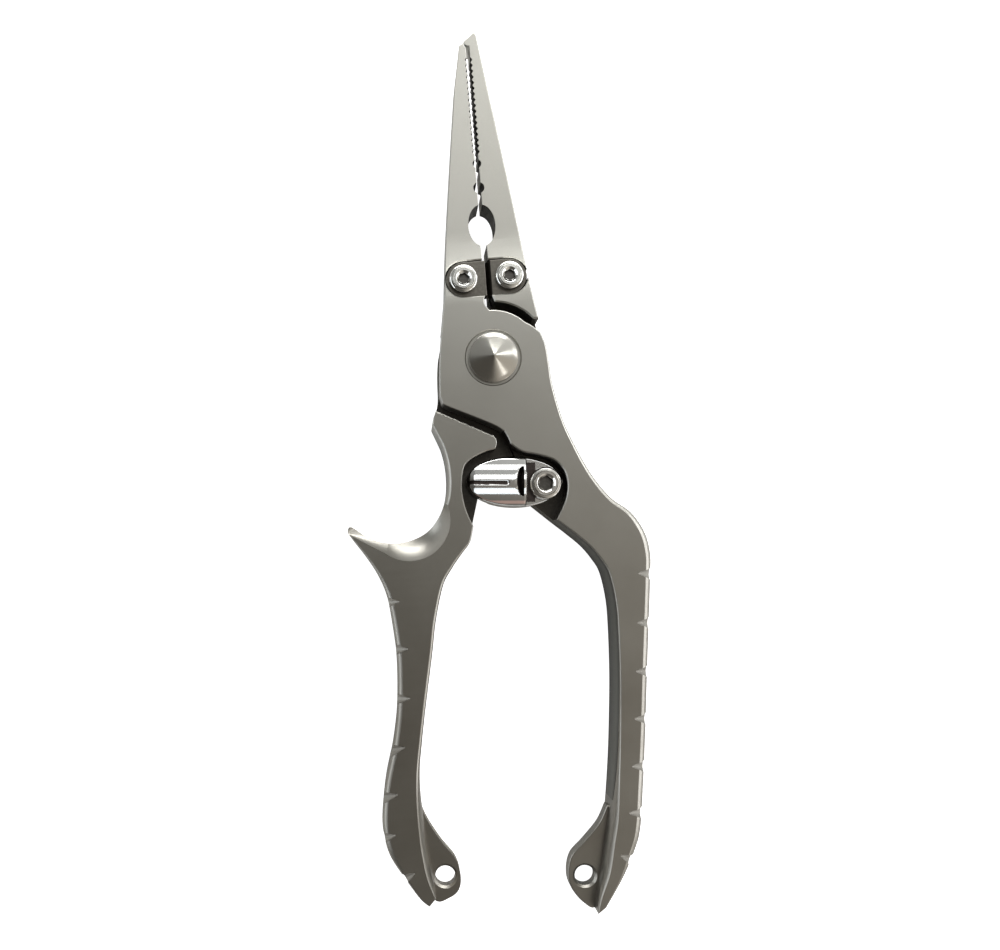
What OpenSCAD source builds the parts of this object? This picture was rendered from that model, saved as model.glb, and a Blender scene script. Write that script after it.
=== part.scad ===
// Spring-opening fishing pliers: lap joint, side cutters, swinging handle latch.
// Millimetres. The pivot axis is the Z axis; the jaws close on the plane X = 0
// and point along +Y; the pliers lie on their back face at Z = 0.

/* [Body] */
// Thickness of handles and joint, back face to front face
body_t = 12; // [10:0.1:15]
// Gap between the two cheeks, filled by the middle washer
lap_gap = 0.3; // [0.2:0.05:0.6]
// Thickness of the jaws at the tip
tip_t = 6; // [5:0.1:8]
// Thickness of the jaws at the oval hole
nose_t = 7.8; // [6.5:0.1:10]

/* [Jaws] */
// Length from the pivot to the top of the longer jaw
jaw_l = 71.8; // [70:0.1:77]
// Play between the closed jaws along the teeth
jaw_gap = 0.8; // [0.4:0.05:1]
// Clearance between the closed jaws below the teeth
throat_gap = 1.3; // [1:0.05:1.5]
// Spacing of the gripping teeth
tooth_pitch = 1.27; // [1:0.01:1.6]
// Number of gripping teeth on each jaw
tooth_n = 17; // [8:1:17]
// Depth of a gripping tooth
tooth_d = 0.4; // [0.3:0.05:0.7]
// Half width of the oval hole between the jaws
oval_a = 2.95; // [2.2:0.05:3.2]
// Half height of the oval hole between the jaws
oval_b = 4.55; // [3.5:0.05:5.2]
// Radius of the small crimping notch
crimp_small_r = 0.95; // [0.7:0.05:1.1]
// Radius of the large crimping notch
crimp_large_r = 1.2; // [1:0.05:1.5]

/* [Cutters] */
// Radius of the round outer end of a cutter
cutter_r = 3.85; // [3.4:0.05:4]
// Distance of the cutter screws from the closing plane
cutter_x = 5; // [4.6:0.05:5.2]
// Distance of the cutter screws above the pivot
cutter_y = 17.6; // [17.4:0.05:18]
// Thickness of a cutter
cutter_t = 3; // [2.4:0.1:3.4]
// Depth of the cutter seat below the front face
seat_depth = 4.4; // [4.2:0.1:4.8]
// Clearance around a cutter in its seat
seat_clear = 0.2; // [0.1:0.05:0.3]
// Radius of a cutter screw head
cut_head_r = 3.1; // [2.7:0.05:3.2]
// Height of a cutter screw head
cut_head_h = 1.7; // [1.3:0.1:2]
// Radius of a cutter screw shank
cut_shank_r = 1.5; // [1.25:0.05:1.7]
// Socket width across flats of a cutter screw
cut_hex = 2.2; // [1.8:0.1:2.5]

/* [Pivot] */
// Radius of the conical pivot cap
cap_r = 5.35; // [4.8:0.05:5.7]
// Height of the cone on the pivot cap
cap_h = 2.5; // [1.5:0.1:3]
// Radius of the pivot bolt shank
bolt_r = 3; // [2.6:0.05:3.2]
// Wall of the bronze bush
bush_wall = 1; // [0.8:0.05:1.1]
// Running clearance on the pivot bolt, on the radius
run_clear = 0.05; // [0.02:0.01:0.1]
// Radius of the flush nut on the back
nut_r = 5.2; // [4.8:0.05:5.4]
// Mean radius of the opening spring
spring_r = 6; // [5.8:0.05:6.2]
// Wire radius of the opening spring
wire_r = 0.4; // [0.3:0.02:0.45]
// Coils of the opening spring
coils = 2.6; // [2:0.1:2.6]

/* [Latch] */
// Half length of the latch
latch_a = 10.5; // [9.5:0.1:10.6]
// Half width of the latch
latch_b = 5.5; // [4.8:0.1:5.6]
// Height of the latch plate
latch_plate_t = 2.6; // [2.2:0.1:2.8]
// Height of the latch barrel above the front face
latch_rise = 0.5; // [0:0.1:1]
// Radius of the latch screw head
latch_head_r = 3.6; // [3:0.05:3.7]
// Radius of the latch screw shank
latch_shank_r = 2; // [1.7:0.05:2.1]
// Radius of the catch pin
pin_r = 1.2; // [1:0.05:1.4]

/* [Handles] */
// Radius of the ball that hollows the finger hook
scoop_r = 10; // [9.4:0.1:10.6]
// Height of that ball's centre above the face
scoop_lift = 4.6; // [4.2:0.1:5.2]
// Radius of the lanyard holes
lug_hole_r = 2.2; // [1.6:0.05:2.6]
// Thickness of the lanyard lugs
lug_t = 3.6; // [2.8:0.1:4.4]
// Number of grip notches on each handle
notch_n = 7; // [3:1:7]
// Radius of a grip notch at its open end
notch_r = 0.95; // [0.6:0.05:1.1]

/* [Hidden] */
$fn = 64;
oval_y = 29.3;
crimp_large_y = 37.6;
crimp_small_y = 42.9;
tooth_y = 44.9;
mid_z = body_t / 2;
front_lap = mid_z + lap_gap / 2;
rear_lap = mid_z - lap_gap / 2;
seat_z = body_t - seat_depth;
latch_pos = [9.4, -27.8];
latch_rot = -4.5;
latch_clear = 0.2;
latch_z0 = front_lap + latch_clear;
latch_z1 = latch_z0 + latch_plate_t;
bore_r = bolt_r + run_clear;
bush_r = bore_r + bush_wall;
nut_depth = 2;
web_z = rear_lap - 2.6;
washer_t = 0.3;
cap_seat = 0.4;
pin_x = -3.6;
pin_y = -27;
pin_top = front_lap + 1.2;
lip_clear = 0.2;
left_hole = [-19, -112];
right_hole = [11.6, -114.3];

// ---- curves ----
// a smooth run through control points
function cr(a, b, c, d, t) = 0.5 * ((2 * b) + (c - a) * t + (2 * a - 5 * b + 4 * c - d) * t * t
  + (3 * b - a - 3 * c + d) * t * t * t);
function at(p, i) = p[max(0, min(len(p) - 1, i))];
function smooth_run(p, n = 4) = [for (i = [0 : len(p) - 2]) for (k = [0 : n - 1])
  cr(at(p, i - 1), at(p, i), at(p, i + 1), at(p, i + 2), k / n), p[len(p) - 1]];
function arc(r, a0, a1, n) = [for (i = [0 : n]) r * [cos(a0 + (a1 - a0) * i / n), sin(a0 + (a1 - a0) * i / n)]];

// ---- outlines ----
// shared outer edge of a jaw and cheek on the +X side, top to bottom
jaw_edge = [[9.2, 15.3], [8.6, 21.6], [7.8, 28.8], [5.6, 45.4], [3.55, 60.2]];
cheek_edge = [[12.1, -7.1], [11.6, 0], [10.45, 7.8]];
// right handle, outer edge from the joint down to the end
right_outer = [[10.6, 4.7], [11.6, 1.8], [12, -2.1], [12.4, -6.9], [13.9, -14.1], [16.2, -20.3],
  [19.3, -26.8], [23, -32], [27.1, -35.5], [29.8, -40], [30.7, -44.9], [30.3, -50], [29.2, -60],
  [27.9, -71.5], [26.6, -83.5], [25.1, -95.7], [23.8, -104.4], [21.9, -109.4], [19, -114.6],
  [15, -120.3]];
right_inner = [[13.2, -121.5], [13.7, -118.2], [15.1, -112.6], [16.4, -106.7], [17.8, -100.8],
  [19.5, -91.9], [20.7, -82.7], [21.8, -71], [22.3, -60], [22.2, -54], [21.3, -48.3],
  [19.8, -45.2], [17.5, -42], [14.3, -38.9], [11.2, -36.1], [7, -32.2]];
// left handle, outer edge from the end up to the joint, with the finger hook
left_outer_low = [[-23, -117.1], [-24.9, -115.3], [-27.9, -110.6], [-30.5, -106], [-31.5, -102],
  [-31.7, -97.2], [-30.5, -90], [-28.1, -81.4], [-26.6, -73], [-25.9, -63], [-26.3, -55],
  [-27, -49.3], [-28.5, -44.9], [-30.6, -41], [-33.1, -37.2]];
left_hook = [[-34.3, -35.3], [-34.1, -34.3], [-33.3, -34.1], [-30.9, -36], [-27.6, -37.7],
  [-24, -38.3], [-20.4, -37.8], [-17.2, -36.4], [-14.6, -33.8], [-12.8, -30.6], [-11.95, -27],
  [-11.8, -22.5], [-12.4, -18.4], [-13.6, -15], [-14.2, -13.4]];
left_cheek_out = [[-13.9, -11.9], [-12.7, -9], [-12.2, -6.5], [-12, -2.1], [-11.5, 2],
  [-10.7, 4.7]];
left_inner = [[-7.2, -36.3], [-8.1, -39.3], [-10, -41.6], [-12.3, -44.5], [-14.6, -48.2],
  [-16.7, -55.4], [-18, -62.2], [-19.3, -68.6], [-20.6, -75], [-21.8, -81.5], [-22.8, -88],
  [-23, -95], [-22.6, -101], [-22.2, -106], [-21.7, -111], [-21.4, -115.5]];
// edge of a cheek towards the other jaw, on an arc about the pivot, +X side
cheek_arc = arc(10.35, 44, 90, 8);
// upper end of the parting line and the joint between jaw and cheek
joint_top = [[-0.3, 10.75], [-0.85, 11.5], [-0.95, 12.6], [-0.75, 13.3], [-throat_gap / 2, 13.8]];
// lower end of the cheek and the start of the handle
joint_low = [[4.9, -28.4], [2.7, -23.6], [1.3, -20.2], [0.7, -18.6], [0.75, -17.5], [1.25, -16.75],
  [0.75, -15.75], [-0.9, -14.55], [-4, -12.95], [-7.2, -11.4], [-10.9, -9.6], [-11.7, -9]];
function mx(p) = [for (i = [len(p) - 1 : -1 : 0]) [-p[i][0], p[i][1]]];
function turned(p) = [for (i = [len(p) - 1 : -1 : 0]) p[i]];

short_tip = jaw_l - 2.1;
// anticlockwise outline of the half with the left jaw and the right handle
front_outline = concat(
  [[-jaw_gap / 2, short_tip - 1.1], [-0.75, short_tip - 0.55], [-0.95, short_tip - 0.1],
    [-1.85, short_tip - 0.6]],
  smooth_run(mx(jaw_edge), 2),
  smooth_run(mx(cheek_edge), 3),
  smooth_run(turned(joint_low), 2),
  smooth_run(turned(right_inner), 4),
  smooth_run(turned(right_outer), 4),
  [[9.7, 5.6], [8.7, 6.45]],
  cheek_arc,
  smooth_run(joint_top, 2),
  [[-throat_gap / 2, oval_y - 2], [-jaw_gap / 2, oval_y + 2]]);
// anticlockwise outline of the half with the right jaw and the left handle
rear_outline = concat(
  [[-0.8, jaw_l - 1.9], [-0.55, jaw_l - 2.5], [-0.2, jaw_l - 2.85], [jaw_gap / 2, jaw_l - 2.9]],
  [[jaw_gap / 2, oval_y + 2], [throat_gap / 2, oval_y - 2]],
  smooth_run(mx(joint_top), 2),
  mx(cheek_arc),
  [[-8.7, 6.45], [-9.7, 5.6]],
  smooth_run(turned(left_cheek_out), 3),
  smooth_run(turned(left_hook), 4),
  smooth_run(turned(left_outer_low), 4),
  smooth_run(turned(left_inner), 4),
  smooth_run(mx(turned(joint_low)), 2),
  smooth_run(cheek_edge, 3),
  smooth_run(jaw_edge, 2),
  [[2.05, jaw_l - 0.7], [1.6, jaw_l]]);

// ---- shared cutters ----
// room for the other half's cheek: below the jaw's arc, above the handle's shoulder
module cheek_room() {
  polygon(concat(
    arc(12.1, 84, 40, 12),
    [[11.8, 7.6], [14, 5], [17, 0], [17, -16], [6, -15]],
    [[0.8, -15.2], [-0.3, -16.4], [-1.5, -16.7], [-13.3, -10.45], [-17, -8.5], [-17, 14],
      [-9, 12.5], [0.7, 13.9], [1, 12.9]]));
}
// the groove mouth beside the end of a cheek, down to the latch
module groove_mouth() {
  polygon(concat(
    smooth_run([[1.15, -16], [1.9, -17.6], [2.6, -19.8], [3.2, -22.5]], 3),
    [[0, -24], [-2, -19], [0, -15.5]]));
}
// the latch pocket seen from the front
module latch_pocket() {
  polygon(concat(
    smooth_run([[2, -18.6], [4.6, -20.6], [8, -21.6], [11.4, -23], [13.4, -25.5], [13.9, -28.4],
      [13.2, -31.8], [10.9, -36]], 4),
    [[8, -44], [-4, -44], [-6.6, -37.4]],
    [for (q = arc(18.35, 208, 178, 8)) q + latch_pos],
    smooth_run([[-8.7, -25.1], [-8.1, -23], [-6.9, -21.7], [-5, -20.7], [-3.1, -20],
      [-1.5, -19.7]], 3)));
}
// slopes that thin the jaws from the joint to the tip
module nose_taper() {
  for (m = [0, 1])
    translate([0, 0, m * body_t])
      mirror([0, 0, m])
        rotate([90, 0, 90])
          translate([0, 0, -20])
            linear_extrude(40)
              polygon(concat([[12, -1]], nose_line(), [[80, -1]]));
}
function nose_line() = [for (i = [0 : 8]) [12 + 16 * i / 8, (body_t - nose_t) / 2 * (1 - cos(180 * i / 8)) / 2],
  [80, (body_t - tip_t) / 2 + (nose_t - tip_t) / 2 * 0.24]];
module tooth_cuts(s) {
  for (i = [0 : tooth_n - 1])
    translate([s * jaw_gap / 2, tooth_y + tooth_pitch * (i + 0.5), -1])
      linear_extrude(body_t + 2)
        polygon([[-s * 0.3, -tooth_pitch * 0.42], [s * tooth_d, 0], [-s * 0.3, tooth_pitch * 0.42]]);
}
module mouth_cuts() {
  translate([0, oval_y, -1])
    linear_extrude(body_t + 2)
      polygon([for (i = [0 : 47]) [oval_a * cos(7.5 * i), oval_b * sin(7.5 * i)]]);
  translate([0, crimp_small_y, -1])
    cylinder(r = crimp_small_r, h = body_t + 2);
  translate([0, crimp_large_y, -1])
    cylinder(r = crimp_large_r, h = body_t + 2);
}
module d_shape(s, r, x1) {
  translate([s * cutter_x, cutter_y])
    circle(r);
  translate([min(s * x1, s * cutter_x), cutter_y - r])
    square([abs(cutter_x - x1), 2 * r]);
}
module seat(s) {
  translate([0, 0, seat_z])
    linear_extrude(body_t)
      d_shape(s, cutter_r + seat_clear, -0.5);
  translate([s * cutter_x, cutter_y, 2.6])
    cylinder(r = cut_shank_r, h = body_t);
}
module notch(p, a) {
  for (z = [0, body_t])
    translate([p[0], p[1], z])
      rotate([0, 0, a])
        rotate([0, 90, 0])
          cylinder(r1 = notch_r * 0.12, r2 = notch_r, h = 2.6);
}
right_notch = [[27.9, -48.9], [26.9, -59.5], [25.7, -69.9], [24.6, -80.1], [23.3, -90.3],
  [21.9, -100.3], [19.2, -109.2]];
left_notch = [[-24.7, -50.9], [-23.6, -61.2], [-24, -71.9], [-25.9, -82.4], [-28.3, -92.4],
  [-29.4, -101.1], [-25.9, -109.7]];

// ---- the two halves ----
module front_half() {
  color([0.6, 0.59, 0.56])
  difference() {
    union() {
      linear_extrude(body_t)
        polygon(front_outline);
      translate([0, 0, mid_z - lug_t / 2])
        linear_extrude(lug_t)
          polygon(smooth_run([[17.6, -99.3], [15.6, -103], [12, -106.8], [9, -109.7],
            [7.9, -113.4], [8.4, -116.8], [10.9, -120.3], [13.6, -121.2], [16.5, -114], [18.4, -104.5],
            [19, -99.5]], 3));
    }
    nose_taper();
    translate([0, 0, -1])
      linear_extrude(front_lap + 1)
        mirror([1, 0, 0])
          cheek_room();
    translate([0, 0, front_lap])
      linear_extrude(body_t)
        groove_mouth();
    translate([0, 0, front_lap])
      linear_extrude(body_t)
        latch_pocket();
    web(lap_gap);
    translate([0, 0, lap_gap])
      web(lap_gap);
    mouth_cuts();
    tooth_cuts(-1);
    seat(-1);
    translate([0, 0, -1])
      cylinder(r = bore_r, h = body_t + 2);
    translate([0, 0, body_t - cap_seat])
      cylinder(r = cap_r + 0.55, h = 2);
    spring_ring(front_lap - 1, front_lap + 1.15);
    translate([latch_pos[0], latch_pos[1], 1.4])
      cylinder(r = latch_shank_r, h = body_t);
    translate([right_hole[0], right_hole[1], -1])
      cylinder(r = lug_hole_r, h = body_t + 2);
    leg_slot(front_lap - 1, front_lap + 3.4);
    for (i = [0 : notch_n - 1])
      notch(right_notch[i], i == 6 ? -28 : -6);
  }
}
// slot in the front cheek for the upper leg of the spring
module leg_slot(z0, z1) {
  translate([0, 0, z0])
    linear_extrude(z1 - z0)
      polygon(concat(arc(spring_r + wire_r + 0.15, leg_high_a + 5, leg_high_a - 34, 12),
        arc(spring_r - wire_r - 0.15, leg_high_a - 34, leg_high_a + 5, 12)));
}
module spring_ring(z0, z1) {
  translate([0, 0, z0])
    difference() {
      cylinder(r = spring_r + wire_r + 0.3, h = z1 - z0);
      translate([0, 0, -1])
        cylinder(r = spring_r - wire_r - 0.3, h = z1 - z0 + 2);
    }
}

// web of the rear half that closes the gap below the joint, seen from the front
module web(grow = 0) {
  translate([0, 0, web_z - grow])
    linear_extrude(rear_lap - web_z + grow)
      polygon([[-3.2, -14.6], [1.5 + grow, -14.6 + grow], [2.1 + grow, -17.4], [2.9 + grow, -20],
        [4.4 + grow, -24 - grow], [-4.2, -24 - grow]]);
}
module rear_half() {
  color([0.56, 0.55, 0.52])
  union() {
    rear_plate();
    web();
  }
}
module rear_plate() {
  difference() {
    union() {
      linear_extrude(body_t)
        polygon(rear_outline);
      translate([0, 0, mid_z - lug_t / 2])
        linear_extrude(lug_t)
          polygon(smooth_run([[-23.9, -95], [-22.4, -99.5], [-19.6, -104.6], [-16.9, -108.4],
            [-16, -111.8], [-16.5, -114.9], [-18.6, -116.5], [-21.6, -116.7], [-23.6, -110],
            [-25, -104], [-25, -96]], 3));
    }
    nose_taper();
    translate([0, 0, rear_lap])
      linear_extrude(body_t)
        cheek_room();
    translate([0, 0, -1])
      linear_extrude(rear_lap + 1)
        mirror([1, 0, 0])
          groove_mouth();
    translate([0, 0, front_lap])
      linear_extrude(body_t)
        latch_pocket();
    mouth_cuts();
    tooth_cuts(1);
    seat(1);
    translate([0, 0, -1])
      cylinder(r = bush_r, h = body_t + 2);
    translate([0, 0, -1])
      cylinder(r = nut_r + 0.4, h = nut_depth + 1);
    spring_ring(nut_depth + 1, rear_lap + 1);
    translate([spring_r * cos(leg_low_a), spring_r * sin(leg_low_a), 0.9])
      cylinder(r = wire_r + 0.12, h = 4);
    translate([pin_x, pin_y, 2])
      cylinder(r = pin_r, h = body_t);
    translate([left_hole[0], left_hole[1], -1])
      cylinder(r = lug_hole_r, h = body_t + 2);
    for (z = [-scoop_lift, body_t + scoop_lift])
      translate([-20.8, -33.5, z])
        sphere(scoop_r);
    for (i = [0 : notch_n - 1])
      notch(left_notch[i], i == 6 ? 207 : (i < 3 ? 178 : 190));
  }
}

// ---- pivot ----
module pivot_bolt() {
  z0 = body_t - cap_seat + washer_t;
  color([0.8, 0.8, 0.79])
  union() {
    cylinder(r = bolt_r, h = z0 + 0.2);
    translate([0, 0, z0])
      cylinder(r = cap_r, h = 0.55);
    translate([0, 0, z0 + 0.55])
      cylinder(r1 = cap_r - 0.15, r2 = 0.35, h = cap_h);
  }
}
module pivot_nut() {
  color([0.62, 0.62, 0.62])
  difference() {
    cylinder(r = nut_r, h = nut_depth - washer_t);
    translate([0, 0, -1])
      cylinder(r = bolt_r + 0.02, h = 5);
    for (a = [0 : 90 : 270])
      rotate([0, 0, a])
        translate([nut_r - 1.3, -0.6, -1])
          cube([3, 1.2, 1.9]);
  }
}
module pivot_bush() {
  color([0.72, 0.55, 0.3])
  ring(bore_r, bush_r, nut_depth, rear_lap);
}
module ring(r0, r1, z0, z1) {
  translate([0, 0, z0])
    difference() {
      cylinder(r = r1, h = z1 - z0);
      translate([0, 0, -1])
        cylinder(r = r0, h = z1 - z0 + 2);
    }
}
module front_washer() {
  color([0.75, 0.75, 0.75])
  ring(bore_r, cap_r - 0.1, body_t - cap_seat, body_t - cap_seat + washer_t);
}
module middle_washer() {
  color([0.72, 0.55, 0.3])
  ring(7.6, 9.8, rear_lap, front_lap);
}
module rear_washer() {
  color([0.75, 0.75, 0.75])
  ring(bore_r, nut_r, nut_depth - washer_t, nut_depth);
}

// opening spring: a coil about the pivot with a leg in each half
leg_high_a = 150;
leg_low_a = leg_high_a - 360 * coils;
coil_z0 = nut_depth + 1.1 + wire_r;
coil_z1 = front_lap + 1 - wire_r;
module opening_spring() {
  n = 60;
  m = 8;
  color([0.7, 0.7, 0.72])
  union() {
    polyhedron(
      [for (i = [0 : n]) for (j = [0 : m - 1])
        let (a = leg_low_a + (leg_high_a - leg_low_a) * i / n, r = spring_r + wire_r * cos(j * 360 / m),
          z = coil_z0 + (coil_z1 - coil_z0) * i / n + wire_r * sin(j * 360 / m))
        [r * cos(a), r * sin(a), z]],
      concat([[for (j = [0 : m - 1]) n * m + j]], [[for (j = [m - 1 : -1 : 0]) j]],
        [for (i = [0 : n - 1]) for (j = [0 : m - 1])
          [i * m + j, i * m + (j + 1) % m, (i + 1) * m + j]],
        [for (i = [0 : n - 1]) for (j = [0 : m - 1])
          [i * m + (j + 1) % m, (i + 1) * m + (j + 1) % m, (i + 1) * m + j]]), convexity = 6);
    translate([spring_r * cos(leg_low_a), spring_r * sin(leg_low_a), 1.2])
      cylinder(r = wire_r - 0.02, h = coil_z0 - 1.2);
    translate([spring_r * cos(leg_high_a), spring_r * sin(leg_high_a), coil_z1])
      cylinder(r = wire_r - 0.02, h = 2.6);
  }
}

// ---- cutters ----
module cutter_left() {
  color([0.2, 0.19, 0.18])
  difference() {
    translate([0, 0, seat_z])
      linear_extrude(cutter_t)
        difference() {
          d_shape(-1, cutter_r, 0.08);
          translate([-cutter_x, cutter_y])
            circle(cut_shank_r + 0.15);
        }
    translate([-0.08, 0, seat_z + cutter_t])
      rotate([0, 45, 0])
        cube([0.7, 60, 0.7], center = true);
  }
}
module cutter_right() {
  color([0.2, 0.19, 0.18])
  difference() {
    translate([0, 0, seat_z])
      linear_extrude(cutter_t)
        difference() {
          d_shape(1, cutter_r, 0.08);
          translate([cutter_x, cutter_y])
            circle(cut_shank_r + 0.15);
        }
    translate([0, 30, 0])
      rotate([90, 0, 0])
        linear_extrude(30)
          polygon([[-1, seat_z + 0.6], [0.12, seat_z + 0.6], [1.15, seat_z + cutter_t + 0.1],
            [1.15, seat_z + 9], [-1, seat_z + 9]]);
  }
}
module socket_screw(head_r, head_h, shank_r, l, hex) {
  difference() {
    union() {
      translate([0, 0, -l])
        cylinder(r = shank_r - run_clear, h = l + 0.2);
      cylinder(r1 = head_r, r2 = head_r, h = head_h * 0.45);
      translate([0, 0, head_h * 0.45])
        cylinder(r1 = head_r, r2 = head_r * 0.82, h = head_h * 0.55);
    }
    translate([0, 0, head_h * 0.3])
      cylinder(r = hex / 2 / cos(30), h = head_h, $fn = 6);
    translate([0, 0, head_h - 0.35])
      cylinder(r1 = hex / 2, r2 = hex / 2 + 0.65, h = 0.36);
  }
}
module cutter_screw(s) {
  color([0.82, 0.82, 0.8])
  translate([s * cutter_x, cutter_y, seat_z + cutter_t])
    rotate([0, 0, 12 * s])
      socket_screw(cut_head_r, cut_head_h, cut_shank_r, cutter_t + 4.6, cut_hex);
}
module cutter_screw_left() {
  cutter_screw(-1);
}
module cutter_screw_right() {
  cutter_screw(1);
}

// ---- latch ----
module at_latch() {
  translate([latch_pos[0], latch_pos[1], 0])
    rotate([0, 0, latch_rot])
      children();
}
latch_cx = 3.86 - latch_a;
function lens(a, b, n) = [for (i = [0 : n - 1])
  [latch_cx + a * cos(360 * i / n), 0.32 + b * sin(360 * i / n)]];
module latch() {
  top = body_t + latch_rise;
  color([0.85, 0.85, 0.85])
  at_latch()
    difference() {
      union() {
        translate([0, 0, latch_z0])
          linear_extrude(latch_plate_t)
            polygon(lens(latch_a, latch_b, 72));
        translate([0, 0, latch_z1 - 0.5])
          linear_extrude(top - latch_z1 - 0.3)
            intersection() {
              polygon(lens(latch_a, latch_b, 72));
              translate([-30, -10])
                square([30 - 4.3, 20]);
            }
        translate([0, 0, top - 0.8])
          linear_extrude(0.8)
            intersection() {
              polygon(lens(latch_a - 0.7, latch_b - 0.7, 72));
              translate([-30, -10])
                square([30 - 4.9, 20]);
            }
      }
      translate([0, 0, -1])
        cylinder(r = latch_shank_r + 0.85, h = body_t);
      // room for the catch pin: a slot on an arc about the latch screw and a raised hook lip
      translate([0, 0, -1])
        linear_extrude(pin_top + lip_clear + 1)
          catch_slot();
      translate([0, 0, -1])
        linear_extrude(pin_top + lip_clear + 1)
          translate([-30, -10])
            square([30 - 12.4, 20]);
    }
}
module catch_slot() {
  d = [pin_x - latch_pos[0], pin_y - latch_pos[1]];
  r = norm(d);
  pin_a = (atan2(d[1], d[0]) - latch_rot + 360) % 360;
  end_a = pin_a + (pin_r + 0.3) / r * 180 / PI;
  polygon(concat(arc(r + pin_r + lip_clear, end_a, end_a - 48, 12),
    arc(r - pin_r - lip_clear, end_a - 48, end_a, 12)));
}
module latch_screw() {
  color([0.82, 0.82, 0.8])
  at_latch()
    translate([0, 0, latch_bush_top + washer_t])
      socket_screw(latch_head_r, 2.1, latch_shank_r, latch_bush_top - 2, 2.9);
}
latch_bush_top = latch_z1 + 0.1;
module latch_bush() {
  color([0.72, 0.55, 0.3])
  at_latch()
    ring(latch_shank_r, latch_shank_r + 0.8, front_lap, latch_bush_top);
}
module latch_wave_washer() {
  color([0.75, 0.75, 0.75])
  at_latch()
    ring(latch_shank_r, latch_head_r - 0.15, latch_bush_top, latch_bush_top + washer_t);
}
module catch_pin() {
  color([0.7, 0.7, 0.7])
  translate([pin_x, pin_y, 2.1])
    cylinder(r = pin_r - 0.02, h = pin_top - 2.1);
}
front_half();
rear_half();
pivot_bolt();
pivot_nut();
pivot_bush();
front_washer();
middle_washer();
rear_washer();
opening_spring();
cutter_left();
cutter_right();
cutter_screw_left();
cutter_screw_right();
latch();
latch_screw();
latch_bush();
latch_wave_washer();
catch_pin();
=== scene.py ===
import math
import bmesh
import bpy
from mathutils import Matrix, Vector


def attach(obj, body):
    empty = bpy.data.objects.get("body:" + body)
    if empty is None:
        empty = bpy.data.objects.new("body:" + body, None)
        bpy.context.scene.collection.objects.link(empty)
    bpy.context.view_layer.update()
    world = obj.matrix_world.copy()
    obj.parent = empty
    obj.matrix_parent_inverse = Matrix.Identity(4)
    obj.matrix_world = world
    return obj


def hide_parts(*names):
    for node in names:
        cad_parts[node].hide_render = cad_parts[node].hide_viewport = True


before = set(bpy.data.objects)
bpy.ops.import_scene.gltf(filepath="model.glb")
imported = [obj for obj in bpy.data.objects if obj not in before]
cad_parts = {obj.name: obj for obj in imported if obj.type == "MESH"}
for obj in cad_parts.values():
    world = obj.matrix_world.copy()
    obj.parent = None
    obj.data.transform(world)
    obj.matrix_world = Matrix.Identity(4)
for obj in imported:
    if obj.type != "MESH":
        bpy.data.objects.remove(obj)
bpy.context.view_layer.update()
MM = 0.001
# shapes are in millimetres, as in the CAD, and are scaled to metres when a piece is finished
T = 12.0                          # thickness, back face to front face
FRONT_LAP, REAR_LAP = 6.15, 5.85  # lap faces: front half's back, rear half's front
LATCH = (9.4, -27.8)              # latch screw
LATCH_TURN = -4.5                 # degrees, latch at rest
CATCH = (-3.6, -27)               # catch pin
CUTTER_X, CUTTER_Y = 5.0, 17.6    # cutter screws, either side of the middle
CUTTER_R = 3.85
SEAT_Z = 7.6                      # floor of the cutter seats
OVAL_Y, CRIMP_Y, NOTCH_Y = 29.3, 37.6, 42.9   # holes between the jaws
TOOTH_Y, TOOTH_PITCH, TEETH = 44.9, 1.27, 17
HOLE_R = 2.2                      # lanyard holes


# ---------------------------------------------------------------- curves
def smooth_run(p, n=8):
    """A smooth run through control points; every column is interpolated alike."""
    out = []
    for i in range(len(p) - 1):
        a, b, c, d = (p[max(0, min(len(p) - 1, j))] for j in (i - 1, i, i + 1, i + 2))
        for k in range(n):
            t = k / n
            out.append(tuple(0.5 * (2 * b[m] + (c[m] - a[m]) * t
                                    + (2 * a[m] - 5 * b[m] + 4 * c[m] - d[m]) * t * t
                                    + (3 * b[m] - a[m] - 3 * c[m] + d[m]) * t ** 3)
                             for m in range(len(b))))
    return out + [tuple(p[-1])]


def arc(r, a0, a1, n, c=(0, 0)):
    s = [math.radians(a0 + (a1 - a0) * i / n) for i in range(n + 1)]
    return [(c[0] + r * math.cos(a), c[1] + r * math.sin(a)) for a in s]


def mx(p):
    return [(-q[0],) + tuple(q[1:]) for q in reversed(p)]


def rev(p):
    return list(reversed(p))


def e(p, d=0.2, h=None):
    """Gives plain points an edge width and depth."""
    return [(q[0], q[1], d, d if h is None else h) for q in p]


# ---------------------------------------------------------------- outlines
# columns: x, y, width of the rounded edge, depth of the rounded edge
JAW = [(9.2, 15.3, .3, .35), (8.6, 21.6, .32, .4), (7.8, 28.8, .35, .4), (5.6, 45.4, .35, .4),
       (3.55, 60.2, .32, .36)]
CHEEK = [(12.1, -7.1, .25, .3), (11.6, 0, .3, .35), (10.45, 7.8, .3, .4)]
RIGHT_OUT = [(10.6, 4.7, .25, .3), (11.6, 1.8, .35, .4), (12, -2.1, .4, .5), (12.4, -6.9, .45, .55),
             (13.9, -14.1, .5, .6), (16.2, -20.3, .6, .7), (19.3, -26.8, .72, .75), (23, -32, .85, .9),
             (27.1, -35.5, 1, 1.05), (29.8, -40, 1.2, 1.25), (30.7, -44.9, 1.25, 1.35),
             (30.3, -50, 1.25, 1.35), (29.2, -60, 1.25, 1.35), (27.9, -71.5, 1.25, 1.35),
             (26.6, -83.5, 1.25, 1.35), (25.1, -95.7, 1.25, 1.35), (23.8, -104.4, 1.2, 1.3),
             (21.9, -109.4, 1.1, 1.2), (19, -114.6, .6, .8), (15, -120.3, .2, .3)]
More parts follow.
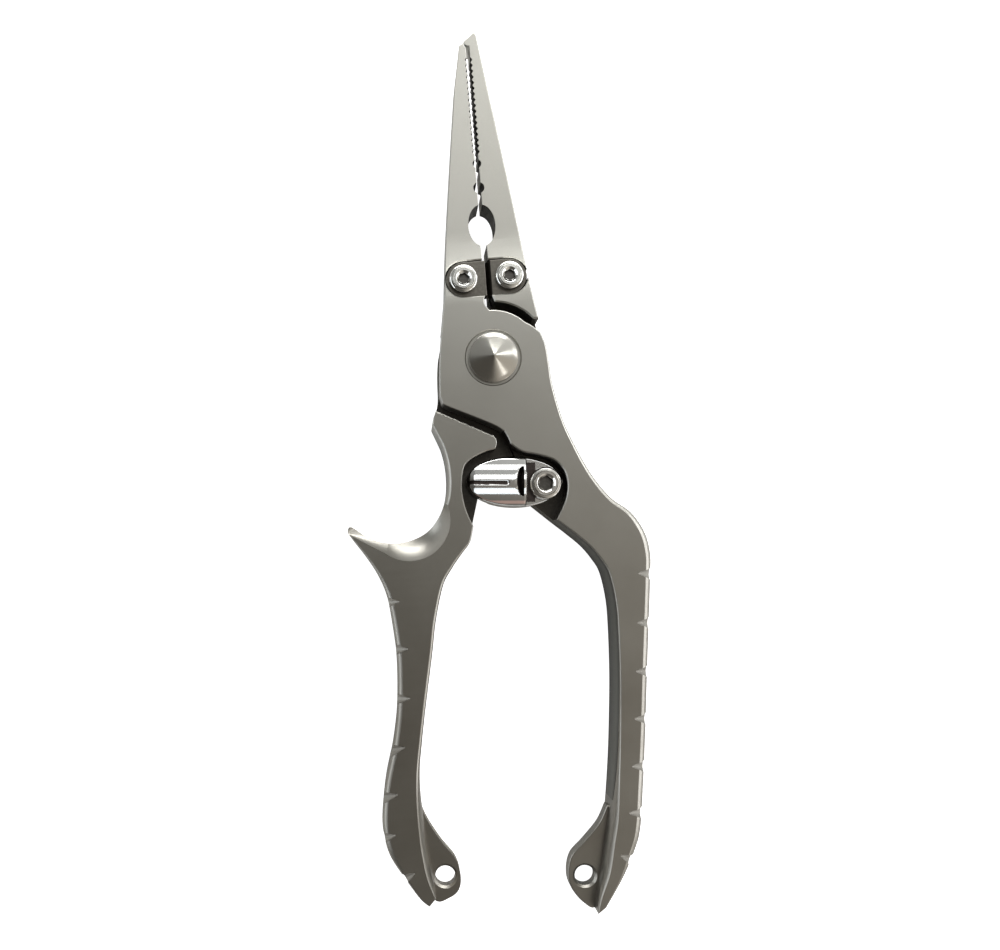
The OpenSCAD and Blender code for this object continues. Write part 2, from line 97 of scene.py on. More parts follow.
RIGHT_IN = [(13.2, -121.5, .08, .2), (13.7, -118.2, .5, 1.2), (15.1, -112.6, 1.4, 3.8),
            (16.4, -106.7, 1.5, 4), (17.8, -100.8, 1.4, 3.8), (19.5, -91.9, .7, 1.6),
            (20.7, -82.7, .45, .8), (21.8, -71, .35, .45), (22.3, -60, .3, .4), (22.2, -54, .3, .4),
            (21.3, -48.3, .3, .4), (19.8, -45.2, .3, .35), (17.5, -42, .25, .3), (14.3, -38.9, .25, .3),
            (11.2, -36.1, .2, .2), (7, -32.2, .2, .2)]
LEFT_OUT = [(-23, -117.1, .15, .25), (-24.9, -115.3, .4, .5), (-27.9, -110.6, .6, .8),
            (-30.5, -106, 1.1, 1.15), (-31.5, -102, 1.2, 1.25), (-31.7, -97.2, 1.25, 1.35),
            (-30.5, -90, 1.25, 1.35), (-28.1, -81.4, 1.25, 1.35), (-26.6, -73, 1.25, 1.35),
            (-25.9, -63, 1.2, 1.3), (-26.3, -55, 1.15, 1.25), (-27, -49.3, 1, 1.05),
            (-28.5, -44.9, .6, .8), (-30.6, -41, .45, .6), (-33.1, -37.2, .3, .4)]
LEFT_HOOK = [(-34.3, -35.3, .2, .25), (-34.1, -34.3, .2, .25), (-33.3, -34.1, .25, .3),
             (-30.9, -36, .3, .4), (-27.6, -37.7, .3, .4), (-24, -38.3, .3, .4),
             (-20.4, -37.8, .3, .4), (-17.2, -36.4, .3, .4), (-14.6, -33.8, .4, .5),
             (-12.8, -30.6, .7, 1), (-11.95, -27, .8, 1.1), (-11.8, -22.5, .7, 1),
             (-12.4, -18.4, .5, .7), (-13.6, -15, .35, .4), (-14.2, -13.4, .3, .3)]
LEFT_CHEEK = [(-13.9, -11.9, .25, .25), (-12.7, -9, .25, .25), (-12.2, -6.5, .25, .25),
              (-12, -2.1, .25, .25), (-11.5, 2, .25, .25), (-10.7, 4.7, .25, .25)]
LEFT_IN = [(-7.2, -36.3, .25, .3), (-8.1, -39.3, .3, .35), (-10, -41.6, .4, .5), (-12.3, -44.5, .5, .6),
           (-14.6, -48.2, .55, .7), (-16.7, -55.4, .6, .7), (-18, -62.2, .6, .7), (-19.3, -68.6, .6, .7),
           (-20.6, -75, .6, .7), (-21.8, -81.5, .6, .8), (-22.8, -88, .7, 1.2), (-23, -95, 1, 2.4),
           (-22.6, -101, 1.4, 3.8), (-22.2, -106, 1.5, 4), (-21.7, -111, 1.3, 3.6), (-21.4, -115.5, .2, .5)]
TOP = [(-0.3, 10.75), (-0.85, 11.5), (-0.95, 12.6), (-0.75, 13.3), (-0.65, 13.8)]
LOW = [(4.9, -28.4), (2.7, -23.6), (1.3, -20.2), (0.7, -18.6), (0.75, -17.5), (1.25, -16.75),
       (0.75, -15.75), (-0.9, -14.55), (-4, -12.95), (-7.2, -11.4), (-10.9, -9.6), (-11.7, -9)]
HEEL = arc(10.35, 44, 90, 30)     # round top of a cheek, about the pivot

front_outline = (
    e([(-0.4, 68.6), (-0.75, 69.15), (-0.95, 69.6), (-1.85, 69.1)], .15)
    + smooth_run([(x, y, .16, .2) for x, y, _, _ in mx(JAW)], 6)
    + smooth_run([(x, y, .18, .22) for x, y, _, _ in mx(CHEEK)], 6) + smooth_run(e(rev(LOW)), 5)
    + smooth_run(rev(RIGHT_IN)) + smooth_run(rev(RIGHT_OUT))
    + e([(9.7, 5.6), (8.7, 6.45)], .3) + e(HEEL, .3) + smooth_run(e(TOP, .22), 5)
    + e([(-0.65, 27.3), (-0.4, 31.3)], .12))
rear_outline = (
    e([(-0.8, 69.9), (-0.55, 69.3), (-0.2, 68.95), (0.4, 68.9), (0.4, 31.3), (0.65, 27.3)], .12)
    + smooth_run(e(mx(TOP), .15), 5) + e(mx(HEEL)) + e([(-8.7, 6.45), (-9.7, 5.6)])
    + smooth_run(rev(LEFT_CHEEK), 5) + smooth_run(rev(LEFT_HOOK)) + smooth_run(rev(LEFT_OUT))
    + smooth_run(rev(LEFT_IN)) + smooth_run(e(mx(rev(LOW))), 5) + smooth_run(CHEEK, 6)
    + smooth_run(JAW, 6) + e([(2.05, 71.1), (1.6, 71.8)], .15))


# ---------------------------------------------------------------- mesh helpers
def make(name, bm, smooth=30.0):
    bmesh.ops.recalc_face_normals(bm, faces=bm.faces)
    me = bpy.data.meshes.new(name)
    bm.to_mesh(me)
    bm.free()
    ob = bpy.data.objects.new(name, me)
    bpy.context.scene.collection.objects.link(ob)
    if smooth:
        soften(ob, smooth)
    return ob


def soften(ob, angle=30.0):
    """Smooth shading that keeps flat faces flat."""
    me = ob.data
    me.shade_smooth()
    me.set_sharp_from_angle(angle=math.radians(angle))
    for m in [m for m in ob.modifiers if m.type == "WEIGHTED_NORMAL"]:
        ob.modifiers.remove(m)
    m = ob.modifiers.new("normals", "WEIGHTED_NORMAL")
    m.weight = 100
    m.keep_sharp = True


def inward(p, i):
    a, b, c = p[i - 1], p[i], p[(i + 1) % len(p)]
    u = Vector((b[0] - a[0], b[1] - a[1])).normalized()
    w = Vector((c[0] - b[0], c[1] - b[1])).normalized()
    m = Vector((-u.y - w.y, u.x + w.x))
    if m.length < 1e-6:
        return Vector((0, 0))
    m.normalize()
    return m / max(0.55, m.x * -w.y + m.y * w.x)


def rings_mesh(bm, rings):
    rows = [[bm.verts.new(q) for q in r] for r in rings]
    n = len(rows[0])
    for a, b in zip(rows, rows[1:]):
        for i in range(n):
            bm.faces.new((a[i], a[(i + 1) % n], b[(i + 1) % n], b[i]))
    bm.faces.new(rows[0])
    bm.faces.new(list(reversed(rows[-1])))


def plate(p, z0=0.0, z1=T, steps=6, t0=20.0):
    """A plate with rounded edges whose width follows the outline; coordinates in mm."""
    n = len(p)
    v = [inward(p, i) for i in range(n)]
    prof = []
    s0, c0 = math.sin(math.radians(t0)), math.cos(math.radians(t0))
    for k in range(steps + 1):
        t = math.radians(t0 + (90 - t0) * k / steps)
        prof.append(((1 - math.sin(t)) / (1 - s0), (c0 - math.cos(t)) / c0))
    rings = [[(p[i][0] + v[i].x * p[i][2] * f, p[i][1] + v[i].y * p[i][2] * f, z1 - p[i][3] * g)
              for i in range(n)] for f, g in prof]
    rings += [[(p[i][0] + v[i].x * p[i][2] * f, p[i][1] + v[i].y * p[i][2] * f, z0 + p[i][3] * g)
               for i in range(n)] for f, g in reversed(prof)]
    bm = bmesh.new()
    rings_mesh(bm, rings)
    return bm


def prism(p, z0, z1, flare=0.0, zf=None):
    """A straight cutter; flare opens it outwards above zf, which leaves a chamfered rim."""
    n = len(p)
    area = sum(p[i - 1][0] * p[i][1] - p[i][0] * p[i - 1][1] for i in range(n))
    if area < 0:
        p = rev(p)
    rings = [[(q[0], q[1], z0) for q in p]]
    if flare:
        v = [inward(p, i) for i in range(n)]
        h = z1 - zf
        rings.append([(q[0], q[1], zf - flare) for q in p])
        for z in (zf + 0.001, z1):
            rings.append([(p[i][0] - v[i].x * flare, p[i][1] - v[i].y * flare, z) for i in range(n)])
    else:
        rings.append([(q[0], q[1], z1) for q in p])
    bm = bmesh.new()
    rings_mesh(bm, rings)
    if flare:
        for f in bm.faces:
            z = f.calc_center_median().z
            if zf - flare < z < zf:
                f.material_index = 1
    return bm


def lathe(profile, n=96, c=(0, 0)):
    """Turned shape from (radius, z) points; a zero radius closes it."""
    bm = bmesh.new()
    rows = []
    for r, z in profile:
        if r < 1e-6:
            rows.append([bm.verts.new((c[0], c[1], z))])
        else:
            rows.append([bm.verts.new((c[0] + r * math.cos(2 * math.pi * i / n),
                                       c[1] + r * math.sin(2 * math.pi * i / n), z)) for i in range(n)])
    for a, b in zip(rows, rows[1:]):
        for i in range(n):
            j = (i + 1) % n
            if len(a) == 1 and len(b) == 1:
                break
            if len(a) == 1:
                bm.faces.new((a[0], b[j], b[i]))
            elif len(b) == 1:
                bm.faces.new((a[i], a[j], b[0]))
            else:
                bm.faces.new((a[i], a[j], b[j], b[i]))
    return bm


def cut(ob, bm, op="DIFFERENCE", mats=None):
    tool = make("tool", bm, 0)
    for m in mats or (ob.data.materials[:1] if ob.data.materials else []):
        tool.data.materials.append(m)
    m = ob.modifiers.new("b", "BOOLEAN")
    m.material_mode = "TRANSFER"
    m.object, m.operation, m.solver = tool, op, "EXACT"
    dg = bpy.context.evaluated_depsgraph_get()
    me = bpy.data.meshes.new_from_object(ob.evaluated_get(dg))
    ob.modifiers.clear()
    old = ob.data
    ob.data = me
    bpy.data.meshes.remove(old)
    bpy.data.objects.remove(tool)


def joined(parts):
    bm = bmesh.new()
    for part in parts:
        me = bpy.data.meshes.new("t")
        part.to_mesh(me)
        part.free()
        bm.from_mesh(me)
        bpy.data.meshes.remove(me)
    return bm


def turned_to(bm, m):
    bm.transform(m)
    return bm


# ---------------------------------------------------------------- shared cuts
def half_height(y):
    """Half the thickness of the jaws at y, as in the tapered nose of the CAD."""
    if y <= 12:
        return 6.0
    if y <= 28:
        return 6.0 - 2.1 * (1 - math.cos(math.pi * (y - 12) / 16)) / 2
    return 3.9 - 0.9 * (y - 28) / 42.3 * 0.98


KNOTS = [12 + 16 * i / 8 for i in range(9)] + [42, 56]


def taper(bm):
    """Thins the jaws: the plate is sliced across at each knot, then its height follows them."""
    for y in KNOTS:
        bmesh.ops.bisect_plane(bm, geom=bm.verts[:] + bm.edges[:] + bm.faces[:],
                               plane_co=(0, y, 0), plane_no=(0, 1, 0), dist=1e-5)
    ks = KNOTS + [80]
    for v in bm.verts:
        y = v.co.y
        if y > 12:
            for a, b in zip(ks, ks[1:]):
                if a <= y <= b + 1e-9:
                    t = (y - a) / (b - a)
                    h = half_height(a) * (1 - t) + half_height(b) * t
                    break
            v.co.z = 6 + (v.co.z - 6) * h / 6


def cheek_room():
    return (arc(12.1, 84, 40, 24) + [(11.8, 7.6), (14, 5), (17, 0), (17, -16), (6, -15), (0.8, -15.2),
            (-0.3, -16.4), (-1.5, -16.7), (-13.3, -10.45), (-17, -8.5), (-17, 14), (-9, 12.5),
            (0.7, 13.9), (1, 12.9)])


def groove_mouth():
    return smooth_run([(1.15, -16), (1.9, -17.6), (2.6, -19.8), (3.2, -22.5)], 6) + [
        (0, -24), (-2, -19), (0, -15.5)]


def latch_pocket():
    return (smooth_run([(2, -18.6), (4.6, -20.6), (8, -21.6), (11.4, -23), (13.4, -25.5), (13.9, -28.4),
                        (13.2, -31.8), (10.9, -36)])
            + [(8, -44), (-4, -44), (-6.6, -37.4)] + arc(18.35, 208, 178, 20, LATCH)
            + smooth_run([(-8.7, -25.1), (-8.1, -23), (-6.9, -21.7), (-5, -20.7), (-3.1, -20),
                          (-1.5, -19.7)], 6))


def teeth(s):
    """Saw-tooth cutter along one jaw's gripping face."""
    p = [(-0.3, TOOTH_Y)]
    for i in range(TEETH):
        y = TOOTH_Y + TOOTH_PITCH * i
        p += [(0, y + 0.06), (0.4, y + 0.52), (0.4, y + 0.7), (0, y + 1.2)]
    return [(s * (x + 0.4), y) for x, y in p + [(-0.3, TOOTH_Y + TEETH * TOOTH_PITCH)]]


def mouth_cuts():
    def ring(a, b, y, n):
        return [(a * math.cos(2 * math.pi * i / n), y + b * math.sin(2 * math.pi * i / n))
                for i in range(n)]
    return [prism(ring(2.95, 4.55, OVAL_Y, 96), -1, 13), prism(ring(.95, .95, NOTCH_Y, 48), -1, 13),
            prism(ring(1.2, 1.2, CRIMP_Y, 48), -1, 13)]


def seat(s, r=4.05, z=SEAT_Z):
    """Recess for a cutter; its chamfered rim follows the sloping face."""
    c = (CUTTER_X * s, CUTTER_Y)
    d = [(c[0] + s * r * math.sin(math.pi * i / 48), c[1] + r * math.cos(math.pi * i / 48))
         for i in range(49)] + [(-0.5 * s, CUTTER_Y - r), (-0.5 * s, CUTTER_Y + r)]
    bm = prism(d, z, 14, .28, 11.8)
    for v in bm.verts:
        if 11 < v.co.z < 13:
            v.co.z += half_height(v.co.y) - 5.8
    return bm


def notch(x, y, a, z):
    """Grip notch: a blunt cone that runs out through the edge."""
    bm = bmesh.new()
    bmesh.ops.create_cone(bm, cap_ends=True, segments=36, radius1=.25, radius2=1.95, depth=4.6)
    tilt = math.radians(90 + (20 if z else -20))
    m = (Matrix.Translation((x, y, z + (.05 if z else -.05)))
         @ Matrix.Rotation(math.radians(a), 4, "Z")
         @ Matrix.Rotation(tilt, 4, "Y") @ Matrix.Translation((0, 0, 2)))
    return turned_to(bm, m)


def cut_notches(ob, where):
    """Cuts the notches on both faces, every other one at a time so that none touch."""
    for i in (0, 1):
        for z in (0, T):
            cut(ob, joined([notch(x, y, a, z) for x, y, a in where[i::2]]))


def tube_cut(r, z0, z1, c=(0, 0), n=64):
    return prism(arc(r, 0, 360 - 360 / n, n - 1, c), z0, z1)


def lug(points, hole):
    """The thin lanyard lug, with a rounded edge and a chamfered hole."""
    ob = make("lug", plate(e(smooth_run(points, 6), .35, .35), 4.2, 7.8, 3, 0), 0)
    wide = HOLE_R + .5
    hole_cut = lathe([(0, 3), (wide, 3), (wide, 4.2), (HOLE_R, 4.7), (HOLE_R, 7.3), (wide, 7.8), (wide, 9),
                      (0, 9)], 64, hole)
    cut(ob, hole_cut)
    return ob


def weld(ob, other):
    bm = bmesh.new()
    bm.from_mesh(other.data)
    bpy.data.objects.remove(other)
    cut(ob, bm, "UNION")


# ---------------------------------------------------------------- the two halves
def build_front(metal, dark, wall):
    bm = plate(front_outline)
    taper(bm)
    ob = make("front_half_body", bm, 0)
    ob.data.materials.append(metal)
    # the cuts given deep leave their faces in dark, a painted shade; chamfered rims keep the metal
    deep = (dark, metal)
    weld(ob, lug([(17.6, -99.3), (15.6, -103), (12, -106.8), (9, -109.7), (7.9, -113.4), (8.4, -116.8),
                  (10.9, -120.3), (13.6, -121.2), (16.5, -114), (18.4, -104.5), (19, -99.5)],
                 (11.6, -114.3)))
    cut(ob, prism([(-x, y) for x, y in cheek_room()], -1, FRONT_LAP), mats=deep)
    cut(ob, prism(groove_mouth(), FRONT_LAP, 14, .22, T), mats=deep)
    cut(ob, prism(latch_pocket(), FRONT_LAP, 14, .25, T), mats=deep)
    cut(ob, web(.3, 2.95, FRONT_LAP + .01), mats=deep)
    for c in mouth_cuts():
        cut(ob, c, mats=deep)
    cut(ob, prism(teeth(-1), -1, 13), mats=deep)
    cut(ob, seat(-1), mats=deep)
    cut(ob, tube_cut(1.5, 2.6, 14, (-CUTTER_X, CUTTER_Y)))
    cut(ob, lathe([(0, -1), (3.05, -1), (3.05, 11.6), (5.9, 11.6), (5.9, 11.75), (6.15, 12.001),
                   (6.15, 14), (0, 14)]))
    cut(ob, lathe([(5.3, 5.15), (6.7, 5.15), (6.7, 7.3), (5.3, 7.3), (5.3, 5.15)]))
    cut(ob, tube_cut(2.0, 1.4, 14, LATCH))
    cut_notches(ob, [(27.9, -48.9, -6), (26.9, -59.5, -6), (25.7, -69.9, -6), (24.6, -80.1, -6),
                     (23.3, -90.3, -6), (21.9, -100.3, -6), (19.3, -109.4, -28)])
    shade_walls(ob, wall, -1, (6, 24, -98, -31))
    soften(ob, 19)
    return ob


def shade_walls(ob, wall, sign, box):
    """The side faces inside the palm gap take the wall material, whose colour is painted shade."""
    ob.data.materials.append(wall)
    k = len(ob.data.materials) - 1
    for f in ob.data.polygons:
        c = f.center
        upright = abs(f.normal.z) < .25 and f.normal.x * sign > .25
        if upright and box[0] < c.x < box[1] and box[2] < c.y < box[3]:
            f.material_index = k


def web(grow, z0, z1):
    """Web of the rear half that closes the gap below the joint."""
    return prism([(-3.2, -14.6), (1.5 + grow, -14.6 + grow), (2.1 + grow, -17.4), (2.9 + grow, -20),
                  (4.4 + grow, -24 - grow), (-4.2, -24 - grow)], z0, z1)


def build_rear(metal, dark):
    bm = plate(rear_outline)
    taper(bm)
    ob = make("rear_half_body", bm, 0)
    ob.data.materials.append(metal)
    # the cuts and the web given deep leave their faces in dark, a painted shade; chamfered rims keep the
    # metal
    deep = (dark, metal)
    weld(ob, lug([(-23.9, -95), (-22.4, -99.5), (-19.6, -104.6), (-16.9, -108.4), (-16, -111.8),
                  (-16.5, -114.9), (-18.6, -116.5), (-21.6, -116.7), (-23.6, -110), (-25, -104),
                  (-25, -96)], (-19, -112)))
    cut(ob, prism(cheek_room(), REAR_LAP, 14, .3, T), mats=deep)
    cut(ob, prism([(-x, y) for x, y in groove_mouth()], -1, REAR_LAP), mats=deep)
    cut(ob, prism(latch_pocket(), FRONT_LAP, 14, .25, T), mats=deep)
    cut(ob, web(0, 3.25, REAR_LAP), "UNION", mats=deep)
    for c in mouth_cuts():
        cut(ob, c, mats=deep)
    cut(ob, prism(teeth(1), -1, 13), mats=deep)
    cut(ob, seat(1), mats=deep)
    cut(ob, tube_cut(1.5, 2.6, 14, (CUTTER_X, CUTTER_Y)))
    cut(ob, tube_cut(4.05, -1, 14))
    cut(ob, lathe([(0, -1), (5.85, -1), (5.85, -0.001), (5.6, .25), (5.6, 2), (0, 2)]))
    cut(ob, lathe([(5.3, 3), (6.7, 3), (6.7, 7), (5.3, 7), (5.3, 3)]))
    cut(ob, tube_cut(1.2, 2, 14, CATCH))
    for z in (-4.6, T + 4.6):
        ball, tip = Vector((-20.8, -33.5, z)), Vector((-34.6, -35.3, T if z > 0 else 0))
        bm = bmesh.new()
        bmesh.ops.create_uvsphere(bm, u_segments=160, v_segments=80, radius=10)
        cut(ob, turned_to(bm, Matrix.Translation(ball)))
        way = tip - ball
        bm = bmesh.new()
        bmesh.ops.create_cone(bm, cap_ends=True, segments=160, radius1=7.6, radius2=.03,
                              depth=way.length - 6.4)
        cut(ob, turned_to(bm, Matrix.Translation(ball + way * (.5 + 3.2 / way.length))
                          @ way.to_track_quat("Z", "X").to_matrix().to_4x4()))
    cut_notches(ob, [(-24.7, -50.9, 178), (-23.6, -61.2, 178), (-24, -71.9, 178), (-25.9, -82.4, 190),
                     (-28.3, -92.4, 190), (-29.4, -101.1, 190), (-25.9, -109.7, 207)])
    soften(ob, 19)
    return ob


# ---------------------------------------------------------------- small parts
def screw(name, c, z, head_r, head_h, hexw, shank, spin, metal, dark):
    """Socket screw whose head starts at z: a rounded outer shoulder, a raised flat ring and a
    countersunk hexagon."""
    r, h = head_r, head_h
    inner = r * .74
    prof = [(0, z - shank), (r * .46, z - shank), (r * .46, z), (r - .3, z), (r - .06, z + .12),
            (r, z + .35), (r, z + h * .38)]
    for k in range(1, 7):
        t = math.radians(15 * k)
        prof.append((r - .62 * (1 - math.cos(t)), z + h * .38 + h * .4 * math.sin(t)))
    prof += [(inner + .08, z + h * .79), (inner + .02, z + h * .76), (inner, z + h * .8),
             (inner - .02, z + h * .93), (inner - .12, z + h), (hexw / 2 + .58, z + h),
             (hexw / 2 + .5, z + h - .05), (hexw / 2 + .1, z + h - .45), (0, z + h - .45)]
    ob = make(name, lathe(prof, 96, c), 0)
    ob.data.materials.append(metal)
    hexa = [(c[0] + hexw / math.sqrt(3) * math.cos(math.radians(60 * i + spin)),
             c[1] + hexw / math.sqrt(3) * math.sin(math.radians(60 * i + spin))) for i in range(6)]
    # the hexagon socket's faces take dark, a painted shade
    cut(ob, prism(hexa, z + h * .25, z + h + 2), mats=(dark,))
    soften(ob, 24)
    return ob


def pivot_cap():
    """Shallow spun cone with a rolled rim and a blunt point, above the bolt's shank."""
    prof = [(0, 0), (3, 0), (3, 11.9), (5.15, 11.9), (5.3, 11.98), (5.35, 12.15), (5.35, 12.3)]
    for k in range(1, 7):
        t = math.radians(15 * k)
        prof.append((5.35 - .22 * (1 - math.cos(t)), 12.3 + .2 * math.sin(t)))
    prof += [(4.2, 13.0), (3.0, 13.6), (1.8, 14.2), (.8, 14.68), (.45, 14.83), (.2, 14.9), (0, 14.92)]
    return make("pivot_cap", lathe(prof, 160), 22)


def latch_body(metal, dark):
    """Lens-shaped latch: a polished barrel on the left, a lower plate round its screw."""
    a, b, cx, cy = 10.5, 5.5, 3.86 - 10.5, 0.32
    z0, plate_z, top = 6.35, 8.95, 12.5
    xs = [cx - a * math.cos(math.radians(0.6 + 88 * i / 60)) for i in range(61)]
    xs = [q for q in xs if q < -6.5]
    xs += [-6.5, -6.3, -6.1, -5.9, -5.7, -5.5, -5.3, -5.1, -4.9, -4.7, -4.55, -4.45, -4.35, -4.3, -4.299]
    right = [cx + a * math.cos(math.radians(77 - 76.4 * i / 49)) for i in range(1, 50)]
    xs += [q for q in right if q > -4.2]
    m = 84

    def top_z(x, y, hb):
        if x > -4.2995:
            z = plate_z
            edge = .25
        else:
            yy = (y - cy) / 5.5
            z = 10.1 + 2.4 * math.sqrt(max(0.0, 1 - (yy * .97) ** 2))
            # shallow lengthwise flute below the crown
            fl = (y - cy + .35) / .55
            if x < -8.2 and abs(fl) < 1:
                z -= .2 * (1 + math.cos(math.pi * fl)) / 2 * min(1, (-8.2 - x) / .5)
            # crescent hollow before the upright strip at the barrel's end
            q = 1 - ((y - cy) / 3.1) ** 2
            if q > 0:
                w = 1.3 * math.sqrt(q)
                if -w < x + 5.25 < .25:
                    t = (x + 5.25 + w) / (w + .25)
                    z -= 1.7 * math.sin(math.pi * min(1, t) * .5) ** 1.4
            if x > -4.62:
                z -= .35 * ((x + 4.62) / .32) ** 2
            # the barrel's left end falls away
            u = (x - (cx - a)) / 1.6
            if u < 1:
                z -= 1.5 * (1 - u) ** 2
            edge = .45
        # rounded rim along the lens outline
        d = hb - abs(y - cy)
        if d < edge:
            z -= (edge - math.sqrt(max(0.0, edge * edge - (edge - d) ** 2)))
        return max(z, z0 + .3)

    bm = bmesh.new()
    cols, under = [], []
    for x in xs:
        hb = b * math.sqrt(max(1e-4, 1 - ((x - cx) / a) ** 2))
        col, low = [], []
        for j in range(m + 1):
            s = math.sin(math.pi / 2 * (2 * j / m - 1))
            y = cy + hb * s
            col.append(bm.verts.new((x, y, top_z(x, y, hb))))
            low.append(bm.verts.new((x, y, z0)))
        cols.append(col)
        under.append(low)
    for i in range(len(xs) - 1):
        for j in range(m):
            bm.faces.new((cols[i][j], cols[i + 1][j], cols[i + 1][j + 1], cols[i][j + 1]))
            bm.faces.new((under[i][j], under[i][j + 1], under[i + 1][j + 1], under[i + 1][j]))
        for j in (0, m):
            q = (cols[i][j], under[i][j], under[i + 1][j], cols[i + 1][j])
            bm.faces.new(q if j == 0 else tuple(reversed(q)))
    for i in (0, len(xs) - 1):
        for j in range(m):
            bm.faces.new((cols[i][j], cols[i][j + 1], under[i][j + 1], under[i][j]))
    ob = make("latch_body", bm, 0)
    ob.data.materials.append(metal)
    ob.data.materials.append(dark)
    # painted shade and painted dark reflection: the faces of the flute and of the crescent hollow, and a
    # flat patch of the plate beside the screw, take the dark second material
    for f in ob.data.polygons:
        x, y, z = f.center
        flute = x < -8.5 and abs(y - cy + .35) < .42 and z > 11
        hollow = -6.6 < x < -5.0 and z > 9 and (y - cy) ** 2 < 3.0 ** 2 * (1 - ((-5.05 - x) / 1.3) ** 2)
        plate_shadow = -4.29 < x < -2.2 and z > plate_z - .05 and abs(y - cy) < 4.3
        if f.normal.z > .2 and (flute or hollow or plate_shadow):
            f.material_index = 1
    cut(ob, tube_cut(2.85, 0, 12))
    r = math.hypot(CATCH[0] - LATCH[0], CATCH[1] - LATCH[1])
    a0, a1 = 184 - LATCH_TURN, 140 - LATCH_TURN
    slot = arc(r + 1.4, a0, a1, 24) + arc(r - 1.4, a1, a0, 24)
    cut(ob, prism(slot, 0, 7.65))
    cut(ob, prism([(-30, -10), (-12.4, -10), (-12.4, 10), (-30, 10)], 0, 7.55))
    soften(ob, 26)
    ob.data.transform(Matrix.Translation((LATCH[0], LATCH[1], 0))
                      @ Matrix.Rotation(math.radians(LATCH_TURN), 4, "Z"))
    return ob


def cutter(s):
    """Dark carbide cutter: a D-shaped plate, the right one ground to an edge at the closing plane."""
    c = (CUTTER_X * s, CUTTER_Y)
    r = CUTTER_R
    d = [(c[0] + s * r * math.sin(a), c[1] + r * math.cos(a))
         for a in (math.pi * i / 48 for i in range(49))]
    p = d + [(0.08 * s, CUTTER_Y - r), (0.08 * s, CUTTER_Y + r)]
    n = len(p)
    if sum(p[i - 1][0] * p[i][1] - p[i][0] * p[i - 1][1] for i in range(n)) < 0:
        p = rev(p)
    ob = make("cutter_blade_left" if s < 0 else "cutter_blade_right",
              plate(e(p, .22, .22), SEAT_Z, SEAT_Z + 3, 2, 20), 0)
    if s > 0:
        bm = bmesh.new()
        rings_mesh(bm, [[(-1, 10, 8.2), (.12, 10, 8.2), (1.15, 10, 10.7), (1.15, 10, 14), (-1, 10, 14)],
                        [(-1, 25, 8.2), (.12, 25, 8.2), (1.15, 25, 10.7), (1.15, 25, 14), (-1, 25, 14)]])
        cut(ob, bm)
    cut(ob, tube_cut(1.65, 5, 13, c))
    soften(ob)
    return ob


# ---------------------------------------------------------------- materials
def mat(name):
    m = bpy.data.materials.new(name)
    m.use_nodes = True
    nt = m.node_tree
    return m, nt, nt.nodes["Principled BSDF"]


def node(nt, kind, **kw):
    n = nt.nodes.new(kind)
    for k, v in kw.items():
        setattr(n, k, v)
    return n


def coords(nt, scale=(1, 1, 1), rot=(0, 0, 0)):
    tc = node(nt, "ShaderNodeTexCoord")
    mp = node(nt, "ShaderNodeMapping")
    mp.inputs["Scale"].default_value = scale
    mp.inputs["Rotation"].default_value = rot
    nt.links.new(tc.outputs["Object"], mp.inputs["Vector"])
    return mp.outputs["Vector"]


def noise_tex(nt, vec, scale, detail=3.0, rough=.5):
    t = node(nt, "ShaderNodeTexNoise")
    t.inputs["Scale"].default_value = scale
    t.inputs["Detail"].default_value = detail
    t.inputs["Roughness"].default_value = rough
    nt.links.new(vec, t.inputs["Vector"])
    return t.outputs["Fac"]


def ramp(nt, fac, stops):
    r = node(nt, "ShaderNodeValToRGB")
    while len(r.color_ramp.elements) < len(stops):
        r.color_ramp.elements.new(0.5)
    for el, (pos, col) in zip(r.color_ramp.elements, stops):
        el.position = pos
        el.color = (*col, 1) if len(col) == 3 else col
    nt.links.new(fac, r.inputs["Fac"])
    return r.outputs["Color"]


def mapr(nt, fac, lo, hi, a=0.0, b=1.0):
    r = node(nt, "ShaderNodeMapRange")
    r.inputs["From Min"].default_value = a
    r.inputs["From Max"].default_value = b
    r.inputs["To Min"].default_value = lo
    r.inputs["To Max"].default_value = hi
    nt.links.new(fac, r.inputs["Value"])
    return r.outputs["Result"]


def mixc(nt, fac, a, b, mode="MIX"):
    m = node(nt, "ShaderNodeMix", data_type="RGBA", blend_type=mode)
    for sock, v in ((m.inputs[0], fac), (m.inputs[6], a), (m.inputs[7], b)):
        if hasattr(v, "links"):
            nt.links.new(v, sock)
        elif isinstance(v, (int, float)):
            sock.default_value = v
        else:
            sock.default_value = (*v, 1)
    return m.outputs[2]


def bump(nt, height, strength, dist, base=None):
    b = node(nt, "ShaderNodeBump")
    b.inputs["Strength"].default_value = strength
    b.inputs["Distance"].default_value = dist
    nt.links.new(height, b.inputs["Height"])
    if base is not None:
        nt.links.new(base, b.inputs["Normal"])
    return b.outputs["Normal"]


